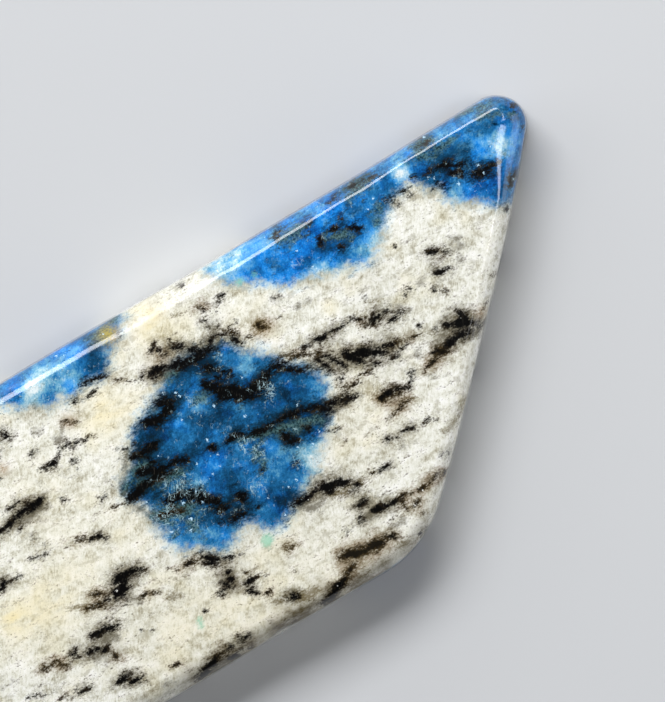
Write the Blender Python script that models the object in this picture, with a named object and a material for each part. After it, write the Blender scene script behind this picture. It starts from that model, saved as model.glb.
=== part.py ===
"""Azurite in granite: one polished freeform cabochon.

The stone is a long slab cut to a rhomboid with two sharp ends. It has a flat ground back, an upright
girdle, a hand-rounded shoulder and a gently domed face. It lies on its back: +Z is up through the
face, +X runs along the two long edges towards the tip, and the origin is the middle of the back.
"""

import math

import bmesh
import bpy
from mathutils import Vector

MM = 0.001

# Driving dimensions of the outline. The four corners are where its sides would meet unrounded.
WIDTH = 25.2 * MM
LONG_SIDE = 47.2 * MM
TIP_SLANT = math.radians(46.6)
FAR_SLANT = math.radians(45.0)
TIP_RADIUS = 2.1 * MM
LOWER_RADIUS = 8.4 * MM
FAR_TIP_RADIUS = 2.6 * MM
UPPER_RADIUS = 7.0 * MM

# How far each side bows out at its middle. The upper side is worn in by a hair.
UPPER_BOW = -0.13 * MM
TIP_BOW = 0.68 * MM
LOWER_BOW = 0.12 * MM
FAR_BOW = 0.5 * MM

# Driving dimensions of the cross section
THICKNESS = 6.0 * MM
DOME_RISE = 0.75 * MM
GIRDLE_TOP = 3.7 * MM
GIRDLE_DRAFT = 0.12 * MM
BACK_EDGE = 0.35 * MM
SHOULDER = 1.75 * MM
TIP_SHOULDER = 1.2 * MM
# A superellipse's power: 2 is a plain round, and less than 2 turns over more sharply at the crest.
SHOULDER_POWER = 1.55

# Slow waves that a cutter's hand leaves in the outline: waves round it, size, phase
HAND_WAVES = ((4, 0.035 * MM, 0.4), (7, 0.03 * MM, 2.1), (13, 0.02 * MM, 4.4))

# How finely the solid is faceted
TIP_STEPS = 12
CORNER_STEPS = 6
LONG_STEPS = 22
END_STEPS = 14
BACK_EDGE_RINGS = 3
SHOULDER_RINGS = 8
FACE_RINGS = 6

# The stone's mean colour, white granite with its blue stains, and its polish
STONE_COLOUR = (0.70, 0.71, 0.70, 1.0)
STONE_ROUGHNESS = 0.12


def bowed_side(start, end, bow):
    """The circle that a side from start to end lies on: its centre and signed radius."""
    chord = end - start
    radius = (chord.length**2 / 4 + bow**2) / (2 * bow)
    outward = Vector((chord.y, -chord.x)).normalized()
    centre = (start + end) / 2 + outward * (bow - radius)
    return centre, radius


def rounding_centre(side_a, side_b, radius, corner):
    """The centre of the circle of this radius that touches both sides near their corner."""
    (centre_a, radius_a), (centre_b, radius_b) = side_a, side_b
    reach_a = abs(radius_a - radius)
    reach_b = abs(radius_b - radius)
    apart = centre_b - centre_a
    along = (reach_a**2 - reach_b**2 + apart.length**2) / (2 * apart.length)
    across = math.sqrt(reach_a**2 - along**2)
    direction = apart.normalized()
    foot = centre_a + direction * along
    normal = Vector((-direction.y, direction.x))
    both = (foot + normal * across, foot - normal * across)
    return min(both, key=lambda point: (point - corner).length)


def touch_point(side, centre, radius):
    """Where a corner's circle touches a side."""
    side_centre, side_radius = side
    direction = (centre - side_centre).normalized()
    return side_centre + direction * abs(side_radius)


def arc_points(centre, start, end, steps):
    """Points from start up to, but without, end on the short arc round centre, with outward normals."""
    first = start - centre
    turn = first.angle_signed(end - centre)
    points = []
    for step in range(steps):
        angle = -turn * step / steps
        spoke = Vector(
            (
                first.x * math.cos(angle) - first.y * math.sin(angle),
                first.x * math.sin(angle) + first.y * math.cos(angle),
            )
        )
        points.append((centre + spoke, spoke.normalized()))
    return points


def rhomboid_corners():
    """The unrounded corners, anticlockwise from the tip: tip, upper, far tip, lower."""
    half = WIDTH / 2
    tip_run = WIDTH / math.tan(TIP_SLANT)
    far_run = WIDTH / math.tan(FAR_SLANT)
    tip = Vector((LONG_SIDE / 2 + tip_run / 2, half))
    upper = Vector((tip.x - LONG_SIDE, half))
    lower = Vector((tip.x - tip_run, -half))
    far_tip = Vector((upper.x - far_run, -half))
    return tip, upper, far_tip, lower


def outline():
    """Points and outward normals round the girdle, anticlockwise, centred on their own box."""
    corners = rhomboid_corners()
    bows = (UPPER_BOW, FAR_BOW, LOWER_BOW, TIP_BOW)
    radii = (TIP_RADIUS, UPPER_RADIUS, FAR_TIP_RADIUS, LOWER_RADIUS)
    corner_steps = (TIP_STEPS, CORNER_STEPS, TIP_STEPS, CORNER_STEPS)
    side_steps = (LONG_STEPS, END_STEPS, LONG_STEPS, END_STEPS)
    sides = [
        bowed_side(corners[i], corners[(i + 1) % 4], bows[i]) for i in range(4)
    ]
    touches = []
    for i in range(4):
        centre = rounding_centre(sides[i - 1], sides[i], radii[i], corners[i])
        before = touch_point(sides[i - 1], centre, radii[i])
        after = touch_point(sides[i], centre, radii[i])
        touches.append((centre, before, after))
    ring = []
    for i in range(4):
        centre, before, after = touches[i]
        ring += arc_points(centre, before, after, corner_steps[i])
        side_centre, side_radius = sides[i]
        facing = math.copysign(1, side_radius)
        side = arc_points(side_centre, after, touches[(i + 1) % 4][1], side_steps[i])
        ring += [(point, normal * facing) for point, normal in side]
    return centred(waved(ring))


def waved(ring):
    """The outline with the slow waves of a hand-cut edge."""
    moved = []
    for index, (point, normal) in enumerate(ring):
        turn = 2 * math.pi * index / len(ring)
        out = sum(size * math.sin(waves * turn + phase) for waves, size, phase in HAND_WAVES)
        moved.append((point + normal * out, normal))
    return moved


def centred(ring):
    xs = [point.x for point, _ in ring]
    ys = [point.y for point, _ in ring]
    middle = Vector(((min(xs) + max(xs)) / 2, (min(ys) + max(ys)) / 2))
    return [(point - middle, normal) for point, normal in ring]


def face_height(point):
    """Height of the domed face above the back, highest at the middle of the rhomboid."""
    across = point.y / (WIDTH / 2)
    slant = (TIP_SLANT + FAR_SLANT) / 2
    along = (point.x - point.y / math.tan(slant)) / (LONG_SIDE / 2)
    fall = 1 - (1 - across**2) * (1 - along**2)
    return THICKNESS - DOME_RISE * fall


def shoulder_width(point):
    """The rounded shoulder narrows along the upper edge towards the tip."""
    along = min(max(point.x / (LONG_SIDE / 2), 0), 1)
    above = min(max(point.y / (WIDTH / 2), 0), 1)
    return SHOULDER + (TIP_SHOULDER - SHOULDER) * along * above


def section(point, normal):
    """Points of the cross section at one place of the outline, from the back up to the face."""
    width = shoulder_width(point)
    crest = point - normal * width
    face = face_height(crest)
    rings = []
    for ring in range(BACK_EDGE_RINGS + 1):
        angle = math.pi / 2 * ring / BACK_EDGE_RINGS
        inset = BACK_EDGE * (1 - math.sin(angle))
        height = BACK_EDGE * (1 - math.cos(angle))
        rings.append((inset, height))
    for ring in range(SHOULDER_RINGS + 1):
        angle = math.pi / 2 * ring / SHOULDER_RINGS
        run = math.cos(angle) ** (2 / SHOULDER_POWER)
        climb = math.sin(angle) ** (2 / SHOULDER_POWER)
        inset = width - (width - GIRDLE_DRAFT) * run
        height = GIRDLE_TOP + (face - GIRDLE_TOP) * climb
        rings.append((inset, height))
    return [(*(point - normal * inset), height) for inset, height in rings]


def stone_mesh():
    """The whole skin: flat back, rings up the side, and rings drawn in to the middle of the face."""
    mesh = bmesh.new()
    columns = [section(point, normal) for point, normal in outline()]
    rings = [[mesh.verts.new(co) for co in level] for level in zip(*columns)]
    crest = [Vector(vertex.co.xy) for vertex in rings[-1]]
    for ring in range(1, FACE_RINGS):
        share = 1 - ring / FACE_RINGS
        spots = [spot * share for spot in crest]
        rings.append([mesh.verts.new((*spot, face_height(spot))) for spot in spots])
    count = len(crest)
    for lower, upper in zip(rings, rings[1:]):
        for i in range(count):
            j = (i + 1) % count
            mesh.faces.new((lower[i], lower[j], upper[j], upper[i]))
    middle = mesh.verts.new((0, 0, face_height(Vector((0, 0)))))
    for i in range(count):
        mesh.faces.new((rings[-1][i], rings[-1][(i + 1) % count], middle))
    mesh.faces.new(reversed(rings[0]))
    bmesh.ops.recalc_face_normals(mesh, faces=mesh.faces)
    return mesh


def stone_material():
    material = bpy.data.materials.new("azurite_granite")
    material.use_nodes = True
    shader = material.node_tree.nodes["Principled BSDF"]
    shader.inputs["Base Color"].default_value = STONE_COLOUR
    shader.inputs["Roughness"].default_value = STONE_ROUGHNESS
    shader.inputs["Metallic"].default_value = 0.0
    return material


def make_stone():
    data = bpy.data.meshes.new("polished_stone")
    mesh = stone_mesh()
    mesh.to_mesh(data)
    mesh.free()
    data.materials.append(stone_material())
    data.shade_smooth()
    data.set_sharp_from_angle(angle=math.radians(40))
    stone = bpy.data.objects.new("polished_stone", data)
    bpy.context.scene.collection.objects.link(stone)
    return stone


def main():
    for item in list(bpy.data.objects):
        bpy.data.objects.remove(item)
    make_stone()


main()
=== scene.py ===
"""Looks of the azurite in granite: a polished freeform cabochon lying on a pale floor.

The stone's skin repeats the part's outline and cross section, finely enough to carry its markings.
Each marking is placed as a stroke, spot or patch, in pixels of the photograph where it shows
and by seeded rules where it doesn't. The strokes become numbers on the mesh's points, and the material
turns those into ragged mineral grains and painted glints. Lengths are millimetres unless a name says pixels.
"""

import math

import bpy
import numpy as np
from mathutils import Matrix, Vector
from mathutils.geometry import delaunay_2d_cdt


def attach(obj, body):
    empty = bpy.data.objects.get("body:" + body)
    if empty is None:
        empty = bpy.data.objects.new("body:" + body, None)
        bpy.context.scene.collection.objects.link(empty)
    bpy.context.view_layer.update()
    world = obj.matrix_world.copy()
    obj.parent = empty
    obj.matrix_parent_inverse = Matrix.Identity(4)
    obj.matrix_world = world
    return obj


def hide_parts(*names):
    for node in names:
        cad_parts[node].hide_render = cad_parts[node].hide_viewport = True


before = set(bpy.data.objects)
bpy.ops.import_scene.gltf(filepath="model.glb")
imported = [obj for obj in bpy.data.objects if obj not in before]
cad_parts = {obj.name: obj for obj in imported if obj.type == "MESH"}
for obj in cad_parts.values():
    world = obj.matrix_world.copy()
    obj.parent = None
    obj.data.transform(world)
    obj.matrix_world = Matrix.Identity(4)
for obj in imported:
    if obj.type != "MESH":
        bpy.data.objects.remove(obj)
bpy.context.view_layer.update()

MM = 0.001


def srgb(red, green, blue):
    """A colour given as on screen, 0 to 255, as the linear colour that shaders take."""
    linear = [
        channel / 255 / 12.92 if channel <= 10 else ((channel / 255 + 0.055) / 1.055) ** 2.4
        for channel in (red, green, blue)
    ]
    return (*linear, 1.0)


# The photograph: its size, the rows between its white bars, its scale and turn, and the pixel over the
# middle of the stone's back
PHOTO_PIXELS = (665, 702)
PICTURE_ROWS = (18, 683)
PIXEL = 0.07
PHOTO_TURN = math.radians(30.5)
ROW_ORIGIN_PIXEL = (188.8, 480.4)

# The outline's driving dimensions, as in the part
WIDTH = 25.2
LONG_SIDE = 47.2
TIP_SLANT = math.radians(46.6)
FAR_SLANT = math.radians(45.0)
TIP_RADIUS = 2.1
LOWER_RADIUS = 8.4
FAR_TIP_RADIUS = 2.6
UPPER_RADIUS = 7.0
UPPER_BOW = -0.13
TIP_BOW = 0.68
LOWER_BOW = 0.12
FAR_BOW = 0.5
HAND_WAVES = ((4, 0.035, 0.4), (7, 0.03, 2.1), (13, 0.02, 4.4))
TIP_STEPS = 12
CORNER_STEPS = 6
LONG_STEPS = 22
END_STEPS = 14

# The cross section's driving dimensions, as in the part
THICKNESS = 6.0
DOME_RISE = 0.75
GIRDLE_TOP = 3.7
GIRDLE_DRAFT = 0.12
BACK_EDGE = 0.35
SHOULDER = 1.75
TIP_SHOULDER = 1.2

# The shoulder of the end that runs down from the tip: its width, its width just below the tip,
# and where along X it starts to widen and over how far
END_SHOULDER = 1.3
BELOW_TIP_SHOULDER = 2.45
END_SHOULDER_FROM = 29.5
END_SHOULDER_RUN = 2.6

# A place belongs to the end as its outward normal's Y falls from the first number by the second
END_FACING = 0.75
END_FACING_RUN = 1.2

# A superellipse's power: crisp at the crest of the upper edge towards the tip, and round elsewhere.
# The change starts at this place along X and takes this run.
CRISP_SHOULDER = 1.7
ROUND_SHOULDER = 1.95
CRISP_FROM = -4.0
CRISP_RUN = 8.0

# Slight unevenness of the shoulder's width from polishing by hand: waves round it, size, phase
POLISH_WAVES = ((17, 0.035, 1.1), (31, 0.025, 3.0), (58, 0.014, 0.4), (97, 0.008, 2.2))

# How finely the skin is meshed. On the face and the back, points stand closest round the rims of the
# streaks, within STREAK_RIM spacings of the fine grid, and less close from AZURITE_RIM inwards. Only
# streaks less deep than SURFACE_DEPTH have points along their middle lines. One point is kept in each
# cell of CLOSEST_POINTS, and none within CREST_MARGIN of the ring round them.
OUTLINE_REFINEMENT = 16
SHOWN_SPACING = 0.125
HIDDEN_SPACING = 0.24
BACK_EDGE_RINGS = 3
GIRDLE_RINGS = 15
SHOULDER_RINGS = 24
FINE_GRID = 0.11
MIDDLE_GRID = 0.2
COARSE_GRID = 0.32
BACK_FINE_GRID = 0.2
BACK_COARSE_GRID = 0.5
STREAK_RIM = (-1.3, 2.5)
AZURITE_RIM = -0.6
CLOSEST_POINTS = 0.075
CREST_MARGIN = 0.06
SURFACE_DEPTH = 0.3
WELD_DISTANCE = 1e-7

# Markings, listed one by one. A stroke is x, y to x, y and its half width, and a spot x, y and its radius,
# all in pixels of the photograph. Patches are polygons; those on an edge go on past it.
ORB_PATCH = (
    (215, 344), (232, 344), (240, 352), (262, 352), (283, 362), (304, 366), (320, 373), (326, 385),
    (327, 400), (328, 428), (322, 437), (318, 447), (315, 460), (316, 470), (308, 478), (303, 490),
    (296, 503), (290, 513), (283, 524), (270, 528), (256, 524), (245, 522), (240, 528), (233, 540),
    (226, 550), (217, 552), (207, 548), (196, 546), (182, 549), (171, 541), (163, 530), (152, 520),
    (148, 508), (140, 503), (128, 500), (124, 490), (125, 478), (132, 465), (130, 450), (134, 432),
    (140, 420), (150, 408), (160, 392), (163, 380), (168, 370), (178, 360), (195, 352), (207, 349),
)
UPPER_EDGE_PATCH = (
    (223, 250), (210, 262), (207, 270), (214, 274), (226, 281), (245, 281), (262, 283), (290, 284),
    (305, 277), (325, 271), (348, 266), (366, 262), (374, 251), (380, 237), (385, 214), (392, 198),
    (402, 188), (408, 180), (420, 183), (430, 189), (440, 188), (446, 196), (455, 200), (480, 201),
    (490, 205), (503, 204), (513, 203), (545, 185), (570, 80), (500, 50), (400, 100), (300, 165),
    (240, 205), (222, 230),
)
LEFT_EDGE_PATCH = (
    (-70, 440), (-40, 426), (-18, 412), (0, 403), (10, 406), (20, 408), (30, 403), (42, 405), (50, 407),
    (56, 398), (62, 393), (68, 398), (76, 393), (82, 387), (90, 381), (103, 377), (107, 365), (108, 352),
    (113, 345), (118, 335), (122, 318), (112, 300), (70, 300), (-20, 350), (-75, 400),
)

# Azurite that the photograph doesn't show: centre and radius of each ball in the stone
HIDDEN_BALLS = (
    ((-25.5, -6.5, 4.6), 4.2), ((-29.5, -11.6, 2.0), 3.2), ((-15.5, 11.8, 2.6), 3.3),
    ((9.0, -11.5, 0.0), 3.4), ((-4.0, 4.5, -1.2), 3.9), ((21.5, 7.5, -0.4), 3.0),
    ((-19.0, 2.0, -0.6), 2.4),
)

BIOTITE = (
    # On the blue patch of the upper edge
    (277, 230, 276, 240, 3), (305, 222, 310, 219, 3), (308, 229, 2), (330, 203, 334, 198, 2.5),
    (350, 188, 354, 184, 3), (360, 184, 364, 180, 2), (353, 177, 356, 175, 1), (369, 177, 375, 176, 1.5),
    (341, 218, 2), (331, 229, 337, 228, 3.6), (338, 248, 342, 247, 3.2), (349, 226, 359, 228, 3.4),
    (318, 236, 321, 243, 2),
    # At the tip
    (512, 106, 516, 105, 1.2), (421, 146, 428, 143, 3), (418, 138, 422, 137, 1.5),
    (426, 172, 440, 166, 2.5), (440, 165, 470, 165, 3.5), (452, 173, 476, 172, 3),
    (474, 176, 488, 173, 4.5), (484, 169, 498, 163, 2.5), (440, 184, 445, 184, 2.5), (432, 189, 1.5),
    (386, 200, 2.5), (394, 201, 2.5), (398, 204, 1.2), (403, 192, 408, 190, 1.6), (410, 197, 413, 195, 1),
    (411, 178, 415, 176, 1.2), (506, 208, 2.6), (509, 183, 514, 177, 4), (521, 127, 524, 126, 1),
    # Round the blue patch of the left edge
    (82, 384, 88, 379, 2), (90, 380, 103, 377, 1.6), (74, 403, 75, 399, 1.2), (75, 399, 81, 397, 1.4),
    (87, 396, 92, 394, 0.8), (92, 394, 97, 390, 0.8), (0, 433, 9, 437, 3), (59, 453, 63, 447, 0.9),
    (63, 447, 70, 444, 1), (74, 444, 79, 441, 1.2), (84, 441, 91, 437, 1.3), (31, 455, 33, 451, 1.5),
    (33, 451, 37, 450, 1), (123, 450, 130, 447, 1.1), (117, 335, 1.5),
    # Above the orb
    (182, 285, 1.6), (219, 296, 224, 294, 1.4), (220, 302, 1.3), (200, 311, 205, 312, 1),
    (172, 349, 184, 345, 3), (170, 341, 1.5), (151, 352, 155, 343, 2), (156, 351, 161, 350, 1.5),
    (166, 352, 1.8), (190, 350, 214, 347, 3), (210, 344, 214, 336, 3), (213, 336, 225, 334, 2),
    (233, 338, 240, 343, 3.5), (281, 297, 1.8), (278, 296, 1.2), (273, 298, 1), (366, 298, 1),
    (396, 247, 1.2), (204, 321, 0.9), (218, 325, 0.9), (208, 328, 0.7), (215, 312, 0.5), (228, 327, 0.6),
    (236, 321, 0.5),
    # The long streaks from the orb towards the right
    (300, 346, 309, 345, 1.6), (315, 340, 325, 337, 3.4), (324, 335, 333, 330, 2.4),
    (332, 331, 345, 325, 1.6), (345, 325, 352, 319, 1), (351, 319, 357, 318, 1.4),
    (371, 322, 380, 314, 3.4), (380, 314, 389, 309, 2.6), (390, 321, 401, 313, 2.8),
    (262, 380, 272, 369, 4), (268, 372, 284, 362, 4.5), (284, 370, 306, 371, 2.2),
    (306, 369, 320, 366, 1.8), (318, 360, 330, 368, 3.5), (325, 357, 346, 366, 4),
    (345, 354, 362, 362, 5.4), (352, 354, 385, 352, 5), (366, 350, 390, 344, 3), (372, 365, 378, 363, 1.2),
    (390, 342, 393, 346, 2), (400, 350, 405, 344, 1.2), (395, 353, 402, 350, 1), (389, 357, 402, 357, 1.4),
    (435, 328, 1.4),
    # Upper right
    (428, 253, 437, 252, 3.2), (442, 252, 448, 251, 2.2), (436, 275, 450, 267, 2.6), (411, 288, 1.3),
    (405, 294, 1), (434, 290, 2), (419, 326, 1.1),
    # The big streak at the right edge
    (444, 325, 456, 325, 2.5), (456, 324, 470, 321, 6), (459, 313, 468, 320, 5), (466, 326, 482, 324, 3.5),
    (478, 324, 487, 321, 1.6), (470, 330, 456, 338, 5), (458, 337, 446, 346, 5), (432, 353, 440, 350, 2),
    # Right of the orb
    (383, 396, 394, 392, 3.2), (392, 392, 401, 388, 2.2), (401, 388, 409, 388, 1.6),
    (408, 373, 414, 371, 1), (412, 373, 410, 383, 1.2), (403, 432, 408, 429, 1.6), (408, 428, 415, 427, 2),
    (385, 440, 391, 440, 2.4), (390, 440, 396, 438, 1.2), (426, 420, 431, 419, 1.4),
    (378, 471, 389, 465, 1.9), (443, 455, 449, 452, 1.3), (338, 378, 342, 379, 1.2),
    (377, 388, 380, 390, 0.9), (328, 431, 333, 430, 1.6),
    # Through the orb's right half
    (260, 432, 275, 422, 4), (275, 422, 288, 417, 3.5), (288, 417, 302, 411, 3.2),
    (300, 411, 316, 408, 3.8), (314, 407, 327, 409, 3), (326, 404, 338, 402, 3.4),
    (338, 401, 357, 396, 3.6), (325, 414, 332, 408, 2), (283, 433, 289, 440, 4.5), (288, 441, 299, 440, 3),
    (304, 428, 313, 427, 1.4), (309, 432, 3), (290, 465, 300, 461, 0.9), (298, 461, 1.6), (262, 470, 2.6),
    # The orb's top, heart and left side
    (137, 380, 148, 371, 1.2), (149, 374, 167, 365, 4.5), (152, 378, 160, 376, 2.5),
    (172, 366, 190, 362, 6), (190, 361, 204, 356, 5), (196, 352, 214, 348, 4), (203, 367, 216, 369, 3),
    (214, 369, 231, 373, 3), (214, 376, 222, 379, 2), (204, 384, 222, 390, 6), (222, 394, 250, 393, 9),
    (248, 392, 264, 386, 7), (158, 404, 172, 400, 5), (172, 404, 160, 417, 6), (162, 416, 146, 426, 6),
    (155, 443, 145, 451, 5), (146, 450, 133, 457, 4), (147, 458, 153, 461, 3.4), (130, 447, 134, 443, 0.9),
    (228, 441, 238, 434, 3.4), (238, 434, 262, 431, 4), (209, 447, 215, 447, 2.6), (140, 473, 166, 468, 5),
    (164, 468, 186, 459, 4),
    # The orb's lower part
    (130, 500, 142, 489, 6), (142, 488, 160, 474, 6), (158, 477, 172, 470, 4), (165, 501, 182, 497, 5),
    (182, 496, 196, 495, 6.5), (196, 498, 219, 502, 5.5), (238, 494, 243, 499, 5.5),
    (215, 513, 228, 508, 3), (234, 520, 246, 512, 3.2), (246, 512, 258, 507, 2.4),
    (219, 523, 233, 521, 1.2), (184, 481, 2.2),
    # Below and right of the orb
    (290, 505, 302, 501, 4), (302, 500, 311, 496, 2.2), (313, 492, 317, 486, 3.2), (323, 488, 334, 485, 7),
    (333, 483, 346, 481, 6), (352, 490, 358, 485, 3.4), (358, 506, 367, 499, 2.6), (369, 508, 378, 512, 2),
    (361, 513, 359, 519, 1.6), (358, 521, 364, 521, 1.2), (376, 510, 388, 505, 4.4),
    (388, 505, 396, 501, 3.2), (344, 533, 349, 529, 0.8),
    # Along the lower edge
    (385, 536, 394, 537, 1.8), (421, 534, 428, 529, 1.3), (341, 582, 334, 593, 3.6),
    (334, 593, 324, 604, 3.4), (287, 599, 297, 596, 3), (293, 595, 3.5), (256, 593, 1.8),
    (200, 677, 208, 669, 4.4), (208, 668, 215, 660, 4), (226, 650, 238, 641, 2.4), (238, 640, 248, 636, 2),
    (230, 657, 237, 655, 2.8), (153, 629, 1.6), (141, 630, 0.9), (205, 611, 0.9),
    # Below the orb
    (204, 556, 218, 560, 5), (205, 563, 218, 563, 2), (222, 557, 236, 555, 1.6), (236, 555, 244, 553, 1.2),
    (227, 569, 230, 577, 2.4), (229, 576, 232, 583, 3), (223, 583, 232, 587, 3), (220, 593, 227, 588, 1.8),
    (246, 583, 254, 578, 2.6), (247, 591, 259, 593, 1.6),
    # Lower left
    (130, 572, 141, 569, 4.5), (116, 582, 130, 572, 6), (116, 596, 126, 584, 7), (104, 601, 116, 596, 3),
    (127, 605, 1.4), (92, 635, 103, 631, 4), (102, 630, 117, 625, 4.5), (87, 654, 101, 648, 2.6),
    (103, 651, 108, 647, 2), (73, 654, 80, 657, 2.8), (76, 649, 76, 655, 2.2), (118, 682, 130, 676, 4),
    (130, 682, 142, 678, 3),
    # Left
    (8, 510, 19, 502, 1.5), (15, 519, 24, 509, 4.2), (22, 511, 36, 505, 5), (34, 506, 43, 498, 4),
    (0, 532, 14, 520, 2.6), (21, 529, 1.6), (35, 539, 2.6), (32, 560, 40, 556, 1.6), (40, 556, 46, 553, 1),
    (46, 546, 0.9), (90, 540, 96, 536, 1.8), (96, 536, 106, 538, 2.4), (102, 498, 106, 495, 1.1),
    (113, 486, 1.6), (61, 499, 1.1), (64, 500, 0.8), (41, 469, 48, 467, 1.2), (48, 466, 56, 462, 1.6),
    (72, 460, 76, 459, 0.9), (76, 469, 0.9), (0, 590, 5, 583, 4), (5, 584, 22, 575, 1),
    (0, 583, 12, 580, 2),
)

BROWN_MICA = (
    # Upper half
    (62, 421, 79, 422, 1.0), (65, 420, 71, 421, 1.6), (115, 380, 122, 380, 1.4), (105, 378, 130, 381, 0.6),
    (200, 308, 4), (206, 303, 2), (222, 330, 238, 333, 1.8), (247, 337, 251, 337, 0.8), (280, 317, 1),
    (357, 320, 369, 317, 1.8), (363, 325, 373, 325, 1.8), (283, 358, 296, 355, 2), (296, 356, 320, 353, 2),
    (392, 345, 410, 337, 2), (410, 337, 421, 334, 1.2), (436, 252, 443, 252, 2), (441, 291, 448, 291, 1.5),
    (493, 276, 496, 274, 1), (448, 345, 436, 355, 5.5), (438, 354, 430, 365, 3), (430, 365, 424, 370, 1.6),
    (476, 310, 485, 307, 0.9), (485, 307, 487, 301, 1), (257, 326, 267, 327, 4), (262, 331, 1.6),
    (287, 549, 293, 546, 2.4),
    # Right of the orb
    (381, 398, 402, 392, 3.8), (380, 398, 386, 400, 3), (388, 419, 400, 408, 1.6), (396, 412, 409, 400, 2),
    (400, 404, 407, 402, 2.2), (422, 424, 426, 421, 1), (431, 419, 437, 419, 0.7),
    (371, 474, 374, 472, 0.8), (443, 473, 450, 468, 1.6), (433, 478, 440, 473, 3), (338, 388, 352, 386, 1),
    (352, 386, 362, 382, 1.1), (357, 377, 366, 372, 0.9), (366, 372, 375, 375, 0.9),
    (334, 429, 339, 427, 1), (345, 440, 1.8),
    # Lower right
    (396, 500, 405, 494, 2), (405, 494, 412, 493, 1), (403, 503, 409, 513, 2), (413, 507, 419, 499, 3),
    (419, 490, 427, 484, 2.4), (427, 484, 437, 476, 1.8), (424, 513, 2), (340, 556, 352, 552, 5),
    (350, 554, 368, 550, 6.5), (366, 549, 382, 542, 6.5), (380, 541, 392, 534, 4),
    (355, 562, 349, 572, 4.4), (349, 572, 341, 582, 5),
    # Lower left
    (266, 594, 272, 589, 1.8), (255, 579, 266, 575, 1), (296, 571, 1.3), (287, 621, 1.2), (294, 622, 1.2),
    (158, 516, 184, 510, 2.6), (185, 565, 196, 560, 2.6), (168, 568, 1.2), (176, 569, 1.3),
    (243, 572, 251, 576, 1.4), (104, 602, 88, 609, 4), (91, 595, 101, 594, 3), (146, 593, 143, 597, 1.6),
    (153, 592, 160, 593, 1.8), (147, 572, 1.6), (57, 660, 62, 664, 1.8), (62, 665, 70, 664, 1.8),
    (43, 670, 56, 662, 2.5), (113, 652, 117, 658, 3.4), (215, 660, 226, 650, 3.4), (242, 650, 252, 648, 1),
    (172, 667, 178, 664, 1.5), (75, 541, 86, 538, 2), (68, 547, 1.5), (111, 507, 124, 503, 1.3),
)

OLIVE_STREAKS = (
    (91, 437, 98, 437, 1), (172, 315, 178, 315, 1), (255, 325, 266, 327, 6), (368, 301, 378, 302, 0.8),
    (420, 334, 433, 331, 1.4), (480, 285, 1.4), (405, 402, 415, 398, 1.4), (465, 398, 461, 412, 2),
    (461, 412, 456, 419, 1), (456, 419, 448, 430, 1.5), (448, 430, 443, 432, 1), (366, 436, 373, 428, 1),
    (331, 496, 350, 488, 3), (359, 483, 369, 476, 2.4), (398, 548, 414, 540, 1.8),
    (414, 540, 424, 534, 1.4), (354, 588, 372, 577, 4), (300, 598, 318, 590, 4), (275, 602, 288, 599, 2.5),
    (304, 614, 3.5), (285, 549, 294, 546, 4), (70, 609, 88, 606, 2), (170, 597, 180, 594, 3),
)

SMOKY_QUARTZ = (
    # Greenish, over the azurite
    (278, 243, 303, 226, 7), (348, 196, 366, 181, 8), (460, 112, 490, 104, 5), (476, 117, 498, 112, 5),
    (414, 148, 430, 141, 7), (35, 406, 3), (407, 163, 456, 139, 4), (511, 115, 5), (505, 153, 3),
    (511, 192, 3), (376, 222, 377, 208, 4), (328, 237, 350, 234, 4), (110, 322, 116, 318, 4),
    (152, 514, 194, 509, 9), (142, 484, 178, 472, 6), (240, 440, 318, 420, 5), (160, 510, 176, 530, 5),
    (127, 448, 124, 492, 4), (196, 400, 208, 394, 5), (160, 380, 175, 372, 5), (256, 440, 262, 468, 4.5),
    (186, 522, 202, 534, 4), (92, 340, 106, 329, 4), (128, 472, 148, 463, 4), (134, 506, 150, 512, 4),
    # In the granite
    (33, 433, 39, 430, 1), (58, 439, 61, 432, 2.5), (213, 304, 2), (205, 328, 216, 323, 3), (299, 306, 1.3),
    (308, 302, 2.6), (404, 317, 409, 311, 1.5), (392, 307, 398, 305, 3), (446, 316, 3),
    (452, 241, 458, 239, 2), (452, 248, 468, 246, 0.9), (433, 269, 3), (457, 262, 461, 260, 1.6),
    (416, 288, 424, 279, 0.9), (462, 340, 478, 332, 3), (436, 346, 446, 331, 4), (432, 376, 1.3),
    (418, 353, 3), (404, 447, 2.5), (318, 499, 322, 494, 3), (307, 508, 320, 506, 5),
    (356, 505, 374, 500, 5), (362, 516, 378, 516, 3), (388, 531, 398, 524, 2), (398, 524, 406, 518, 1.6),
    (132, 599, 141, 601, 1.4), (104, 637, 117, 637, 5), (92, 656, 108, 655, 5), (20, 520, 44, 506, 5),
    (63, 473, 67, 471, 2), (41, 481, 2), (3, 575, 4), (212, 672, 230, 660, 5),
)

NAVY = (
    (352, 208, 363, 212, 5), (318, 250, 350, 236, 9), (283, 246, 2), (303, 268, 305, 258, 1.5),
    (308, 268, 311, 256, 2), (270, 260, 282, 268, 4), (440, 158, 462, 150, 7), (471, 127, 478, 129, 2),
    (92, 350, 104, 372, 5), (292, 425, 325, 415, 8), (305, 421, 1.5), (172, 368, 205, 358, 9),
    (136, 432, 150, 428, 3), (190, 418, 228, 413, 4), (175, 468, 195, 450, 6), (288, 500, 298, 495, 6),
    (208, 517, 4), (202, 523, 2),
)

# Painted highlights: glints of light off cleavage faces, painted as bright dots in the colour
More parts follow.
